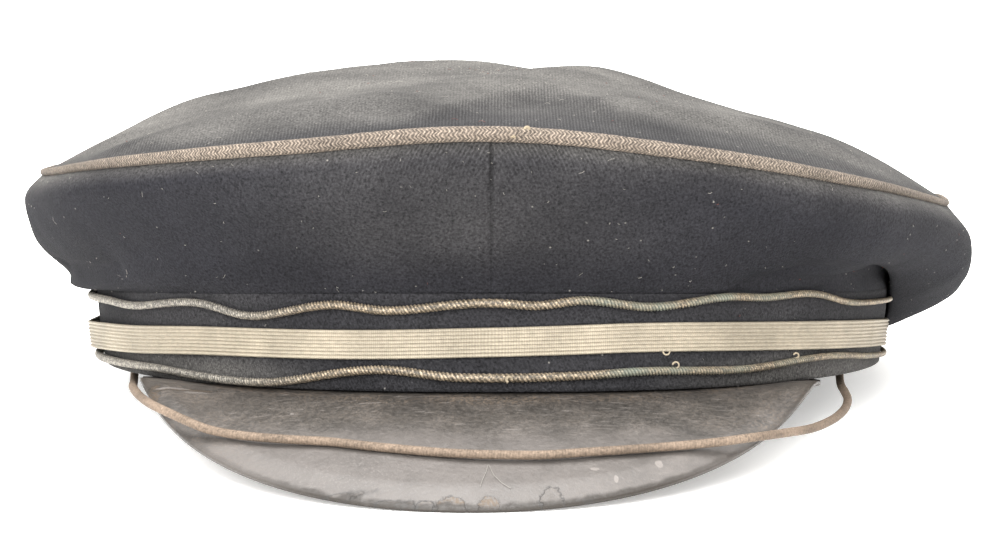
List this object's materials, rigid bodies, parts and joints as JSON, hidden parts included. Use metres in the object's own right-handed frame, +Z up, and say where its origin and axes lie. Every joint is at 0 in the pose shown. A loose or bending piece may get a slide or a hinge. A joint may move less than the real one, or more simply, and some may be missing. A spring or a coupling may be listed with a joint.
{
  "type": "visor cap",
  "caption": "Soft-crowned wool visor cap with a woven braid round the crown, corded and taped band, worn leather visor and a chin cord.",
  "frame": {"origin": "under the middle of the cap, on the surface that it rests on", "axes": "+X to the right of someone facing the visor, +Y from the visor to the back of the cap, +Z up"},
  "size_m": [0.1962, 0.2612, 0.0677],
  "materials": {
    "crown_wool": "felted dark wool twill, dusty on top",
    "band_wool": "dark wool cloth",
    "ribbed_tape": "pale ribbed silk tape",
    "metallic_cord": "tarnished metallic thread cord",
    "woven_braid": "brown herringbone braid",
    "visor_leather": "scuffed lacquered leather",
    "chin_cord": "brown woven cord"
  },
  "bodies": {
    "root": {"band": "band_wool", "band_tape": "ribbed_tape", "upper_cord": "metallic_cord", "lower_cord": "metallic_cord", "crown_side_left": "crown_wool", "crown_side_right": "crown_wool", "crown_top": "crown_wool", "crown_braid": "woven_braid", "visor": "visor_leather", "chin_cord": "chin_cord"}
  },
  "joints": []
}
